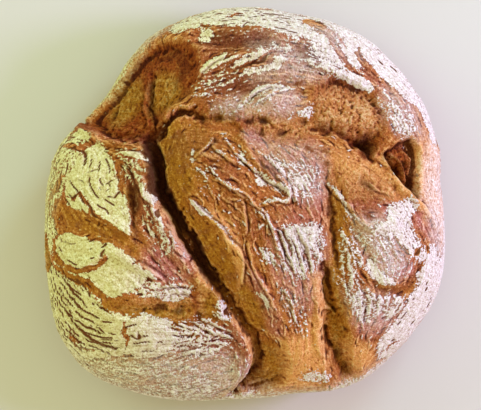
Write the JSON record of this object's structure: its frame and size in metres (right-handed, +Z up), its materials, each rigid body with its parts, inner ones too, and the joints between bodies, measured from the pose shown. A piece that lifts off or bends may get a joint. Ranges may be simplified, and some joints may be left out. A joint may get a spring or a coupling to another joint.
{
  "type": "rye bread loaf",
  "caption": "Round hearth-baked rye bread loaf with lobed, deeply torn crust that stands on a flat underside.",
  "frame": {"origin": "centre of the loaf's box at the level of the flat underside", "axes": "+Z up out of the crown, +X along the widest direction, +Y from the long tears' open ends towards the crescent at the back"},
  "size_m": [0.252, 0.2434, 0.0877],
  "materials": {
    "crust": "dry floured bread crust, fully matt"
  },
  "bodies": {
    "root": {"loaf": "crust"}
  },
  "joints": []
}
